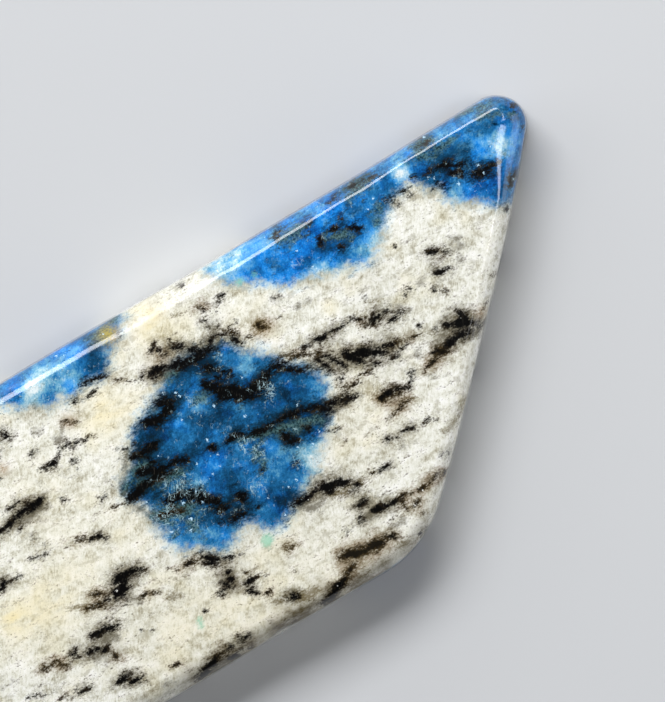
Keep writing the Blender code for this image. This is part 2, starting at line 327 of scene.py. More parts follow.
PAINTED_GLINTS = (
    # On the edge patches
    (340, 190, 1.2), (373, 199, 1.2), (368, 209, 1), (317, 202, 1.1), (323, 207, 1.1), (424, 137, 1.2),
    (428, 178, 1.2), (434, 178, 1.1), (459, 184, 2.2), (475, 191, 1.3), (490, 146, 2), (478, 165, 1.1),
    (484, 173, 1.2), (513, 179, 1.2), (312, 267, 1.1), (264, 238, 1.2), (297, 251, 1.1), (322, 273, 1.2),
    (317, 268, 1.1), (103, 334, 1.3), (56, 356, 1.2), (64, 354, 1.1), (40, 386, 1.2),
    # On the orb
    (176, 393, 1.4), (180, 396, 1.2), (163, 393, 1.1), (214, 406, 2), (242, 377, 1.2), (245, 416, 1.2),
    (159, 456, 1.2), (218, 454, 1.2), (220, 466, 1.1), (213, 474, 1.2), (197, 464, 1.1), (182, 420, 1.3),
    (207, 440, 2.3), (297, 405, 1.2), (313, 444, 2), (319, 431, 1.2), (298, 447, 1.2), (183, 503, 2.5),
    (203, 502, 1.3), (196, 492, 1.2), (191, 519, 2.0), (192, 518, 1.0), (191, 530, 2.2), (192, 529, 1.1),
    (178, 529, 1.4), (147, 502, 1.7), (172, 532, 1.3), (285, 515, 1.3), (268, 498, 1.1), (296, 480, 1.2),
    (289, 487, 1.1),
    # Elsewhere
    (423, 491, 1.2), (420, 496, 1.2), (415, 505, 1.3), (117, 591, 1.3), (320, 509, 1.2),
)

MALACHITE = ((267, 541, 8), (199, 619, 201, 626, 1.8), (240, 282, 3.5), (255, 274, 3))

# Soft spots: x, y, radius in pixels, and strength. In the azurite, plus is paler and minus is deeper;
# some pale spots on the shoulder bands of the upper edge and tip paint the haze of reflected light.
# White grains carry threads and painted sparkles, and cobalt's plus is bluer and its minus greener.
PALE_DEEP_AND_PAINTED_HAZE = (
    (243, 368, 15, 0.85), (300, 390, 20, 0.1), (307, 420, 18, -0.3), (310, 458, 13, 0.6),
    (172, 487, 10, 0.6), (199, 484, 10, 0.6), (252, 484, 10, 0.5), (240, 447, 14, 0.3), (197, 406, 14, 0.3),
    (222, 363, 11, 0.35), (210, 462, 14, 0.2), (288, 455, 15, 0.45), (266, 482, 12, 0.2),
    (202, 528, 13, 0.4), (317, 462, 11, 0.8), (300, 456, 16, 0.25), (304, 482, 10, 0.45),
    (236, 268, 14, 0.35), (262, 256, 18, 0.15), (320, 440, 9, 0.3), (220, 535, 16, 0.2), (180, 421, 6, 0.3),
    (200, 381, 8, 0.2), (220, 351, 9, 0.2), (270, 510, 14, 0.15), (150, 410, 16, 0.25),
    (155, 488, 9, -0.25), (255, 539, 6, 0.5), (222, 265, 16, 0.4), (364, 251, 13, 0.75),
    (374, 237, 9, 0.45), (186, 485, 14, 0.3), (320, 276, 20, 0.3), (476, 140, 22, 0.42),
    (465, 186, 22, 0.2), (435, 134, 9, 0.5), (452, 125, 6, 0.5), (500, 140, 12, 0.25), (412, 175, 9, 0.3),
    (400, 173, 9, 1.3), (478, 150, 30, 0.1), (510, 128, 22, 0.1), (215, 262, 12, 0.3), (232, 258, 14, 0.2),
    (18, 386, 10, -0.1), (45, 375, 17, 0.75), (32, 392, 14, 0.75), (70, 372, 12, 0.45), (95, 358, 14, 0.25),
    (300, 206, 16, 0.35), (245, 238, 18, 0.4), (355, 172, 14, 0.35), (402, 147, 14, 0.35),
    (232, 548, 12, 0.3), (258, 522, 12, 0.2), (216, 268, 9, 0.4), (30, 392, 28, 0.4), (70, 375, 18, 0.15),
    (318, 385, 14, 0.15), (514, 150, 20, 0.45), (512, 188, 12, 0.4), (280, 258, 30, 0.22),
    (345, 215, 30, 0.2), (375, 205, 14, 0.15), (250, 262, 20, 0.1),
)
WHITE_GRAINS = (
    (164, 520, 17, 1.0), (240, 445, 14, 0.6), (197, 406, 15, 0.5), (172, 489, 10, 0.8), (199, 485, 10, 0.8),
    (252, 484, 9, 0.7), (222, 363, 11, 0.5), (400, 173, 10, 0.8), (470, 188, 20, 0.2), (310, 458, 12, 0.5),
    (205, 523, 14, 0.4), (240, 537, 5, 0.9), (35, 388, 18, 0.6), (55, 372, 15, 0.5), (268, 396, 8, 0.8),
    (303, 465, 13, 0.45), (257, 452, 12, 0.7), (271, 388, 10, 0.5), (259, 490, 8, 0.6), (184, 488, 12, 0.4),
    (325, 205, 12, 0.4), (300, 262, 8, 0.3),
)
COBALT = (
    (280, 262, 32, 1.0), (320, 235, 30, 0.8), (345, 215, 30, 0.7), (475, 185, 22, 0.7), (478, 140, 24, 0.2),
    (240, 262, 20, 0.5), (65, 352, 14, 0.8), (72, 380, 14, 0.5), (18, 386, 12, 0.6), (400, 170, 20, 0.4),
    (212, 463, 14, 0.5), (290, 452, 16, -0.25), (314, 468, 14, -0.2), (312, 385, 14, -0.3),
    (220, 535, 14, 0.1), (180, 421, 8, 0.5), (200, 381, 9, 0.5), (220, 351, 10, 0.7), (270, 510, 14, 0.2),
    (97, 340, 14, -0.7), (508, 140, 26, 0.6),
)
CREAM_STAINS = (
    (105, 410, 28, 1.0), (155, 328, 24, 1.0), (12, 618, 15, 0.8), (371, 392, 9, 0.6), (330, 307, 8, 0.7),
    (142, 312, 14, 0.5), (28, 622, 38, 0.5), (100, 560, 45, 0.25), (160, 640, 45, 0.3), (40, 480, 40, 0.22),
    (205, 625, 40, 0.3), (393, 247, 5, 0.7), (108, 338, 11, 1.4), (60, 600, 34, 0.45), (130, 520, 25, 0.25),
    (240, 320, 20, 0.3), (330, 570, 60, 0.22), (360, 420, 50, 0.25), (250, 610, 60, 0.35),
    (40, 520, 40, 0.2),
)
RUST_STAINS = (
    (3, 469, 6, 1.0), (70, 421, 8, 0.6), (263, 327, 10, 0.6), (481, 312, 6, 0.7), (108, 335, 10, 1.5),
    (290, 547, 6, 0.3), (157, 357, 14, 0.3),
)

# Soft brown stain with painted shade, most of it along the lower edge, on the shoulder turned from the light
STAIN_AND_PAINTED_SHADE_SPOTS = (
    (226, 662, 16, 0.7), (254, 646, 15, 0.7), (282, 632, 14, 0.75), (308, 616, 14, 0.8),
    (334, 600, 14, 0.8), (360, 584, 14, 0.75), (386, 568, 13, 0.7), (410, 550, 12, 0.55),
    (425, 530, 10, 0.4), (196, 680, 16, 0.6), (290, 612, 16, 0.4), (322, 590, 12, 0.3), (215, 322, 20, 0.1),
    (380, 352, 20, 0.25), (300, 504, 12, 0.3), (366, 510, 12, 0.35), (440, 340, 10, 0.3),
    (330, 360, 16, 0.25), (370, 287, 26, 0.1), (130, 320, 12, 0.22), (155, 305, 14, 0.28),
    (180, 290, 14, 0.2), (203, 275, 12, 0.14), (36, 515, 12, 0.35), (230, 576, 13, 0.35),
    (108, 645, 14, 0.35), (126, 592, 12, 0.3),
)

# Where the polish is worn, so that the upper edge's highlight fades
WORN_POLISH = ((128, 324, 14, 0.8), (152, 309, 18, 1.0), (178, 293, 18, 1.0), (201, 279, 12, 0.7))

# All the marks by the name of the number that they become on the mesh's points
STROKES = {
    "biotite": BIOTITE, "brown": BROWN_MICA, "olive": OLIVE_STREAKS, "smoky": SMOKY_QUARTZ, "navy": NAVY,
    "glint": PAINTED_GLINTS, "malachite": MALACHITE,
}
SOFT_SPOTS = {
    "pale": PALE_DEEP_AND_PAINTED_HAZE, "grains": WHITE_GRAINS, "cobalt": COBALT, "cream": CREAM_STAINS,
    "rust": RUST_STAINS, "worn": WORN_POLISH, "dusk": STAIN_AND_PAINTED_SHADE_SPOTS,
}

# How strongly the brown stain and painted shade work, and how deep below the face the soft spots reach
STAIN_AND_PAINTED_SHADE_STRENGTH = 1.3
SOFT_DEPTH = 2.5

# Seeded strings of streaks for the places that the photograph doesn't show. Pairs are the least and the
# most, but for the field's half length and half breadth. Spreads are those of a normal or log-normal
# draw. The listed streaks are PHOTO_STREAK_DEPTH deep, and seeded ones that come within
# SHOWN_DEPTH of the shown face are left out.
STREAK_SEED = 11
STREAK_STRINGS = 1350
STREAK_FIELD = (34, 13)
STREAKS_IN_STRING = (1, 6)
STREAK_LIE = math.radians(-4)
STREAK_SCATTER = math.radians(10)
STREAK_TURN_SPREAD = 0.2
STREAK_CLIMB_SPREAD = 0.12
STREAK_SWELL_SPREAD = 0.35
STREAK_LENGTHS = (0.15, 1.1)
STREAK_HALF_WIDTH = 0.11
STREAK_WIDTH_SPREAD = 0.5
STREAK_HALF_WIDTHS = (0.045, 0.45)
STREAK_DEPTHS = (0.1, 0.5)
STREAK_STEPS = (0.7, 1.6)
STREAK_STRAY = 0.12
PHOTO_STREAK_DEPTH = 1.1
SHOWN_DEPTH = 1.2
HIGHEST_STREAK = 0.5

# The share of the seeded streaks that each mineral takes, from the first number to the second
SEEDED_SHARES = {"biotite": (0, 0.62), "brown": (0.62, 0.82), "olive": (0.82, 0.88), "smoky": (0.88, 1)}

# How far a streak is felt, how much its ends narrow, and how far its shade spreads. A streak of the
# full width or more casts a whole shade, and a spot has almost no length.
STREAK_REACH = 0.9
STREAK_TAPER = 0.35
SHADE_SPREAD = 0.34
FULL_SHADE_WIDTH = 0.22
SPOT_LENGTH_SQUARED = 1e-9
SHADING_STREAKS = ("biotite", "brown")

# How far the azurite's field reaches, how its patches round off below a depth, and how uneven the
# hidden balls are
AZURITE_REACH = 1.5
AZURITE_ROUNDING = 6.0
AZURITE_STRAIGHT_DEPTH = 1.2
HIDDEN_WOBBLE = 0.45
WOBBLE_WAVES = (1.3, 1.7)

# Small faults of the hand-cut edge: pixel place, radius, how far it goes in, and its height above the
# back. Each is taller than it is long.
FAULT_HEIGHT = 1.6
EDGE_FAULTS = (
    ((285, 637), 0.85, 0.26, 4.2), ((432, 522), 0.30, 0.16, 4.4), ((296, 208), 0.45, -0.05, 4.4),
    ((303, 203), 0.30, 0.06, 4.4), ((330, 188), 0.35, -0.05, 4.4), ((407, 504), 0.35, 0.10, 5.6),
)

# Colour ramps, from dark to pale. The granite's runs over its brightness, those of the azurite over
# its paleness, and that of the malachite over the depth inside a grain.
GRANITE_TONES = (
    (0.08, srgb(118, 112, 94)),
    (0.28, srgb(188, 184, 166)),
    (0.46, srgb(226, 226, 214)),
    (0.64, srgb(243, 243, 236)),
    (0.9, srgb(254, 254, 252)),
)
TEAL_TONES = (
    (0.0, srgb(2, 14, 24)),
    (0.2, srgb(8, 42, 66)),
    (0.38, srgb(18, 80, 124)),
    (0.54, srgb(36, 114, 170)),
    (0.72, srgb(98, 162, 194)),
    (0.88, srgb(168, 204, 216)),
    (1.0, srgb(225, 236, 238)),
)
COBALT_TONES = (
    (0.0, srgb(2, 20, 48)),
    (0.2, srgb(5, 56, 118)),
    (0.38, srgb(12, 98, 184)),
    (0.54, srgb(26, 136, 226)),
    (0.72, srgb(92, 172, 234)),
    (0.88, srgb(178, 214, 238)),
    (1.0, srgb(228, 238, 242)),
)
MALACHITE_TONES = ((0.0, srgb(128, 200, 168)), (0.3, srgb(150, 212, 182)), (0.55, srgb(226, 242, 228)))

# Colours that lie in the granite, and those that multiply what they stain
GREY_QUARTZ = srgb(158, 154, 136)
MICA_FLAKE = srgb(66, 60, 46)
BROWN_SPECK = srgb(62, 58, 46)
DARK_SPECK = srgb(48, 44, 34)
CREAM = srgb(240, 227, 180)
SMOKE = srgb(106, 101, 84)
RUST = srgb(150, 112, 60)
OLIVE = srgb(104, 92, 58)
# Painted highlights on the granite: sparkle and glint
PAINTED_GRAIN_SPARKLE = srgb(236, 236, 226)
PAINTED_GRAIN_GLINT = srgb(252, 252, 244)
WARM_STAIN = srgb(240, 230, 196)
# Brown stain that also paints the shade of the shoulder turned from the light
STAIN_AND_PAINTED_SHADE_TINT = srgb(118, 106, 80)
BIOTITE_STAIN = srgb(100, 88, 62)
BROWN_STAIN = srgb(138, 114, 76)

# Colours that lie in the azurite
FRINGE_TONES = (srgb(108, 140, 146), srgb(160, 204, 222))
BIOTITE_SHADE = srgb(7, 27, 34)
NAVY_CLOUD = srgb(6, 40, 62)
SMOKY_VEIL = (srgb(18, 40, 42), srgb(86, 120, 120))
YELLOW_RUST = srgb(156, 142, 64)
CRYSTAL_THREAD = srgb(176, 210, 220)
# Painted highlights on the azurite: sparkle and glint
PAINTED_BLUE_SPARKLE = srgb(160, 210, 236)
PAINTED_BLUE_GLINT = srgb(192, 230, 254)

# Colours of the micas, from rim to core
BROWN_MICA_TONES = (srgb(60, 48, 24), srgb(14, 11, 5))
BLACK_MICA = srgb(2, 2, 2)
MICA_SHEEN = srgb(36, 34, 30)
BRONZE_RIM = srgb(44, 36, 22)

# The polish, and how deep the slight relief of the minerals is
POLISH_ROUGHNESS = 0.09
STONE_IOR = 1.54
RELIEF_STRENGTH = 0.3
RELIEF_DEPTH = 0.012

# The spread of Blender's raw noise about its middle, and how the azurite's threads lie
NOISE_SPREAD = 0.075
FIBRE_LIE = math.radians(59.5)

# The camera looks straight down, turned so that the stone lies as in the photograph. The photograph's
# scale holds at SHARP_HEIGHT above the floor.
CAMERA_DISTANCE = 1200.0
SENSOR = 36.0
SHARP_HEIGHT = 5.2
CLIP_START = 10.0
CLIP_END = 10000.0

# Soft lights: name, degrees from straight up, degrees round from the picture's top towards its right,
# distance, width up and down, length sideways, and power in watts
LIGHTS = (
    ("key", 42, -22, 800, 333, 629, 6.9),
    ("right", 28, 78, 380, 105, 120, 0.3),
    ("right rim", 72, 88, 520, 300, 420, 0.7),
    ("left", 60, -80, 420, 220, 260, 0.25),
    ("rim", 76, -25, 520, 260, 700, 0.8),
)
WORLD_COLOUR = (0.86, 0.88, 0.92, 1.0)
WORLD_STRENGTH = 0.045
FLOOR_SIZE = 1600.0
FLOOR_COLOUR = srgb(200, 202, 205)
FLOOR_ROUGHNESS = 0.9


def from_photo(pixels):
    """The stone's plan position under places of the photograph, as an array of x, y pairs."""
    offset = (np.asarray(pixels, float) - ROW_ORIGIN_PIXEL) * PIXEL
    right = np.array((math.cos(PHOTO_TURN), -math.sin(PHOTO_TURN)))
    up = np.array((math.sin(PHOTO_TURN), math.cos(PHOTO_TURN)))
    return offset[..., :1] * right - offset[..., 1:] * up


def in_photo(points):
    """Whether each plan position is one that the photograph shows."""
    right = np.array((math.cos(PHOTO_TURN), -math.sin(PHOTO_TURN)))
    up = np.array((math.sin(PHOTO_TURN), math.cos(PHOTO_TURN)))
    column = ROW_ORIGIN_PIXEL[0] + points[..., :2] @ right / PIXEL
    row = ROW_ORIGIN_PIXEL[1] - points[..., :2] @ up / PIXEL
    return (column > 0) & (row > PICTURE_ROWS[0]) & (row < PICTURE_ROWS[1])


def bowed_side(start, end, bow):
    """The circle that a side from start to end lies on: its centre and signed radius."""
    chord = end - start
    radius = (chord.length**2 / 4 + bow**2) / (2 * bow)
    outward = Vector((chord.y, -chord.x)).normalized()
    centre = (start + end) / 2 + outward * (bow - radius)
    return centre, radius


def rounding_centre(side_a, side_b, radius, corner):
    """The centre of the circle of this radius that touches both sides near their corner."""
    (centre_a, radius_a), (centre_b, radius_b) = side_a, side_b
    reach_a = abs(radius_a - radius)
    reach_b = abs(radius_b - radius)
    apart = centre_b - centre_a
    along = (reach_a**2 - reach_b**2 + apart.length**2) / (2 * apart.length)
    across = math.sqrt(reach_a**2 - along**2)
    direction = apart.normalized()
    foot = centre_a + direction * along
    normal = Vector((-direction.y, direction.x))
    both = (foot + normal * across, foot - normal * across)
    return min(both, key=lambda point: (point - corner).length)


def touch_point(side, centre):
    """Where a corner's circle touches a side."""
    side_centre, side_radius = side
    direction = (centre - side_centre).normalized()
    return side_centre + direction * abs(side_radius)


def arc_points(centre, start, end, steps):
    """Points from start up to, but without, end on the short arc round centre, with outward normals."""
    first = start - centre
    turn = first.angle_signed(end - centre)
    points = []
    for step in range(steps):
        angle = -turn * step / steps
        spoke = Matrix.Rotation(angle, 2) @ first
        points.append((centre + spoke, spoke.normalized()))
    return points


def rhomboid_corners():
    """The unrounded corners, anticlockwise from the tip: tip, upper, far tip, lower."""
    half = WIDTH / 2
    tip_run = WIDTH / math.tan(TIP_SLANT)
    far_run = WIDTH / math.tan(FAR_SLANT)
    tip = Vector((LONG_SIDE / 2 + tip_run / 2, half))
    upper = Vector((tip.x - LONG_SIDE, half))
    lower = Vector((tip.x - tip_run, -half))
    far_tip = Vector((upper.x - far_run, -half))
    return tip, upper, far_tip, lower


def outline():
    """Points and outward normals round the girdle as two arrays, anticlockwise, centred on their box."""
    corners = rhomboid_corners()
    bows = (UPPER_BOW, FAR_BOW, LOWER_BOW, TIP_BOW)
    radii = (TIP_RADIUS, UPPER_RADIUS, FAR_TIP_RADIUS, LOWER_RADIUS)
    corner_steps = (TIP_STEPS, CORNER_STEPS, TIP_STEPS, CORNER_STEPS)
    side_steps = (LONG_STEPS, END_STEPS, LONG_STEPS, END_STEPS)
    sides = [bowed_side(corners[i], corners[(i + 1) % 4], bows[i]) for i in range(4)]
    touches = []
    for i in range(4):
        centre = rounding_centre(sides[i - 1], sides[i], radii[i], corners[i])
        touches.append((centre, touch_point(sides[i - 1], centre), touch_point(sides[i], centre)))
    ring = []
    for i in range(4):
        centre, before, after = touches[i]
        ring += arc_points(centre, before, after, corner_steps[i] * OUTLINE_REFINEMENT)
        side_centre, side_radius = sides[i]
        facing = math.copysign(1, side_radius)
        steps = side_steps[i] * OUTLINE_REFINEMENT
        side = arc_points(side_centre, after, touches[(i + 1) % 4][1], steps)
        ring += [(point, normal * facing) for point, normal in side]
    points = np.array([point for point, _ in ring])
    normals = np.array([normal for _, normal in ring])
    turn = 2 * math.pi * np.arange(len(points)) / len(points)
    for waves, size, phase in HAND_WAVES:
        points += normals * (size * np.sin(waves * turn + phase))[:, None]
    points -= (points.min(axis=0) + points.max(axis=0)) / 2
    return thinned(points, normals)


def thinned(points, normals):
    """The outline without the points that stand closer together than the mesh needs."""
    spacing = np.where(in_photo(points), SHOWN_SPACING, HIDDEN_SPACING)
    kept = [0]
    for index in range(1, len(points)):
        if np.hypot(*(points[index] - points[kept[-1]])) >= spacing[index]:
            kept.append(index)
    return points[kept], normals[kept]


def face_height(points):
    """Height of the domed face above the back, highest at the middle of the rhomboid."""
    across = points[..., 1] / (WIDTH / 2)
    slant = (TIP_SLANT + FAR_SLANT) / 2
    along = (points[..., 0] - points[..., 1] / math.tan(slant)) / (LONG_SIDE / 2)
    fall = 1 - (1 - across**2) * (1 - along**2)
    return THICKNESS - DOME_RISE * fall


def back_height(points):
    """Height of the flat back."""
    return np.zeros(len(points))


def shoulder_width(points, normals):
    """Narrow along the upper edge towards the tip, and widest on the end just below the tip."""
    along = np.clip(points[:, 0] / (LONG_SIDE / 2), 0, 1)
    above = np.clip(points[:, 1] / (WIDTH / 2), 0, 1)
    width = SHOULDER + (TIP_SHOULDER - SHOULDER) * along * above
    on_end = np.clip((END_FACING - normals[:, 1]) / END_FACING_RUN, 0, 1) * (points[:, 0] > 0)
    towards_tip = np.clip((points[:, 0] - END_SHOULDER_FROM) / END_SHOULDER_RUN, 0, 1)
    end_width = END_SHOULDER + (BELOW_TIP_SHOULDER - END_SHOULDER) * towards_tip
    return width + (end_width - width) * on_end


def shoulder_power(points, normals):
    """Crisper at the crest on the upper edge from the stone's middle to the tip, rounder elsewhere."""
    along = np.clip((points[:, 0] - CRISP_FROM) / CRISP_RUN, 0, 1)
    on_upper_edge = np.clip(normals[:, 1] * 2, 0, 1)
    return ROUND_SHOULDER + (CRISP_SHOULDER - ROUND_SHOULDER) * (along * on_upper_edge)


def side_rings(points, normals):
    """The skin from the back up over the shoulder to the crest: an array of rings of points."""
    turn = 2 * math.pi * np.arange(len(points)) / len(points)
    width = shoulder_width(points, normals)
    for waves, size, phase in POLISH_WAVES:
        width += size * np.sin(waves * turn + phase)
    power = shoulder_power(points, normals)
    crest = face_height(points - normals * width[:, None])
    insets = []
    heights = []
    for ring in range(BACK_EDGE_RINGS + 1):
        angle = math.pi / 2 * ring / BACK_EDGE_RINGS
        insets.append(np.full(len(points), BACK_EDGE * (1 - math.sin(angle))))
        heights.append(np.full(len(points), BACK_EDGE * (1 - math.cos(angle))))
    for ring in range(1, GIRDLE_RINGS):
        share = ring / GIRDLE_RINGS
        insets.append(np.full(len(points), GIRDLE_DRAFT * share))
        heights.append(np.full(len(points), BACK_EDGE + (GIRDLE_TOP - BACK_EDGE) * share))
    for ring in range(SHOULDER_RINGS + 1):
        angle = math.pi / 2 * ring / SHOULDER_RINGS
        run = max(math.cos(angle), 0) ** (2 / power)
        climb = math.sin(angle) ** (2 / power)
        insets.append(width - (width - GIRDLE_DRAFT) * run)
        heights.append(GIRDLE_TOP + (crest - GIRDLE_TOP) * climb)
    insets = np.array(insets)
    heights = np.array(heights)
    plan = points - normals * insets[..., None]
    rings = np.concatenate([plan, heights[..., None]], axis=2)
    return with_edge_faults(rings, normals)


def with_edge_faults(rings, normals):
    """Presses the small notches and bumps of the hand-cut edge into the side."""
    for pixel, radius, depth, height in EDGE_FAULTS:
        centre = np.array((*from_photo(pixel), height))
        gap = (rings - centre) / (radius, radius, radius * FAULT_HEIGHT)
        push = depth * np.exp(-np.sum(gap**2, axis=2))
        rings[..., :2] -= normals * push[..., None]
    return rings


def inside(points, ring):
    """Whether each point lies inside a closed ring of points."""
    result = np.zeros(len(points), bool)
    x, y = points[:, 0], points[:, 1]
    for (ax, ay), (bx, by) in zip(ring, np.roll(ring, -1, axis=0)):
        if ay != by:
            crosses = (ay > y) != (by > y)
            result ^= crosses & (x < (bx - ax) * (y - ay) / (by - ay) + ax)
    return result


def ring_distance(points, ring):
    """Distance from each point to a closed ring, positive inside it."""
    nearest = np.full(len(points), np.inf)
    for start, end in zip(ring, np.roll(ring, -1, axis=0)):
        run = end - start
        share = np.clip((points - start) @ run / (run @ run), 0, 1)
        gap = points - start - share[:, None] * run
        nearest = np.minimum(nearest, np.hypot(gap[:, 0], gap[:, 1]))
    return np.where(inside(points, ring), nearest, -nearest)


def grid(ring, spacing):
    """A slightly staggered grid of points that covers a ring."""
    low = ring.min(axis=0)
    high = ring.max(axis=0)
    xs, ys = np.meshgrid(np.arange(low[0], high[0], spacing), np.arange(low[1], high[1], spacing))
    xs = xs + np.where(np.arange(len(xs)) % 2, spacing / 2, 0)[:, None]
    return np.stack([xs.ravel(), ys.ravel()], axis=1)


def one_per_cell(points, cell):
    """The first of the points in each square cell, in the order given."""
    keys = np.floor(points / cell).astype(int)
    _, first = np.unique(keys, axis=0, return_index=True)
    return points[np.sort(first)]


def stitched(ring, inner):
    """Plan points and triangles of a disc that has the ring as its rim."""
    count = len(ring)
    points = [Vector(point) for point in np.concatenate([ring, inner])]
    rim = [(i, (i + 1) % count) for i in range(count)]
    flat, _, triangles, _, _, _ = delaunay_2d_cdt(points, rim, [list(range(count))], 1, WELD_DISTANCE)
    return np.array([tuple(point) for point in flat]), triangles


def streak_array(marks, top):
    """Listed strokes and spots as rows of start, end, half width and depth, on the stone's top."""
    rows = []
    for mark in marks:
        *ends, width = mark
        start, end = from_photo(ends[:2]), from_photo(ends[-2:])
        heights = top(np.array([start, end]))
        rows.append((*start, heights[0], *end, heights[1], width * PIXEL, PHOTO_STREAK_DEPTH))
    return np.array(rows)


def hidden_streaks(random, top):
    """Seeded streaks, in strings along the foliation, wherever the photograph doesn't look."""
    rows = []
    half_length, half_breadth = STREAK_FIELD
    for _ in range(STREAK_STRINGS):
        place = random.uniform((-half_length, -half_breadth, 0), (half_length, half_breadth, THICKNESS))
        lie = random.normal(STREAK_LIE, STREAK_SCATTER)
        swell = random.lognormal(0, STREAK_SWELL_SPREAD)
        for _ in range(random.integers(*STREAKS_IN_STRING, endpoint=True)):
            length = random.uniform(*STREAK_LENGTHS) * swell
            turn = lie + random.normal(0, STREAK_TURN_SPREAD)
            climb = random.normal(0, STREAK_CLIMB_SPREAD)
            run = np.array((math.cos(turn), math.sin(turn), climb)) * length
            width = STREAK_HALF_WIDTH * swell * random.lognormal(0, STREAK_WIDTH_SPREAD)
            width = np.clip(width, *STREAK_HALF_WIDTHS)
            rows.append((*place, *(place + run), width, random.uniform(*STREAK_DEPTHS)))
            step = random.uniform(*STREAK_STEPS)
            place = place + run * step + random.normal(0, STREAK_STRAY, 3)
    rows = np.array(rows)
    middle = (rows[:, :3] + rows[:, 3:6]) / 2
    below = top(middle[:, :2]) - middle[:, 2]
    shown = in_photo(middle) & (below < rows[:, 7] + rows[:, 6] + SHOWN_DEPTH)
    return rows[~shown & (below > -HIGHEST_STREAK)]


def streak_fields(points, streaks):
    """How deep inside the nearest streak each point lies, negative outside, and how shaded it is by all."""
    order = np.argsort(points[:, 0])
    sorted_x = points[order, 0]
    inside_by = np.full(len(points), -STREAK_REACH)
    shade = np.zeros(len(points))
    for row in streaks:
        start, end, width, depth = row[:3], row[3:6], row[6], row[7]
        reach = width + STREAK_REACH
        first = np.searchsorted(sorted_x, min(start[0], end[0]) - reach)
        last = np.searchsorted(sorted_x, max(start[0], end[0]) + reach)
        near = order[first:last]
        offset = points[near] - start
        run = end - start
        share = np.clip(offset @ run / max(run @ run, SPOT_LENGTH_SQUARED), 0, 1)
        gap = offset - share[:, None] * run
        across = np.hypot(gap[:, 0], gap[:, 1])
        down = np.maximum(np.abs(gap[:, 2]) - depth, 0)
        taper = 1 - STREAK_TAPER * np.abs(2 * share - 1) ** 3
        away = np.hypot(across, down)
        inside_by[near] = np.maximum(inside_by[near], width * taper - away)
        spread = width + SHADE_SPREAD
        shade[near] += min(width / FULL_SHADE_WIDTH, 1) * np.exp(-((away / spread) ** 2))
    return inside_by, 1 - np.exp(-shade)


def soft_field(points, spots, below):
    """The summed soft spots at each point, fading with depth below the top."""
    field = np.zeros(len(points))
    for x, y, radius, strength in spots:
        gap = points[:, :2] - from_photo((x, y))
        field += strength * np.exp(-np.sum(gap**2, axis=1) / (radius * PIXEL) ** 2)
    return field * np.clip(SOFT_DEPTH - below, 0, 1)


def azurite_field(points):
    """How deep inside the azurite each point lies; negative outside."""
    deep = np.maximum(THICKNESS - points[:, 2] - AZURITE_STRAIGHT_DEPTH, 0)
    shrink = AZURITE_ROUNDING - np.sqrt(np.maximum(AZURITE_ROUNDING**2 - deep**2, 0))
    field = np.full(len(points), -AZURITE_REACH)
    for patch in (ORB_PATCH, UPPER_EDGE_PATCH, LEFT_EDGE_PATCH):
        field = np.maximum(field, ring_distance(points[:, :2], from_photo(patch)) - shrink)
    for centre, radius in HIDDEN_BALLS:
        gap = points - np.array(centre)
        wobble = np.sin(WOBBLE_WAVES[0] * gap[:, 0] + centre[1])
        wobble *= np.sin(WOBBLE_WAVES[1] * gap[:, 1] + centre[0])
        field = np.maximum(field, radius - np.sqrt(np.sum(gap**2, axis=1)) + HIDDEN_WOBBLE * wobble)
    return np.clip(field, -AZURITE_REACH, AZURITE_REACH)


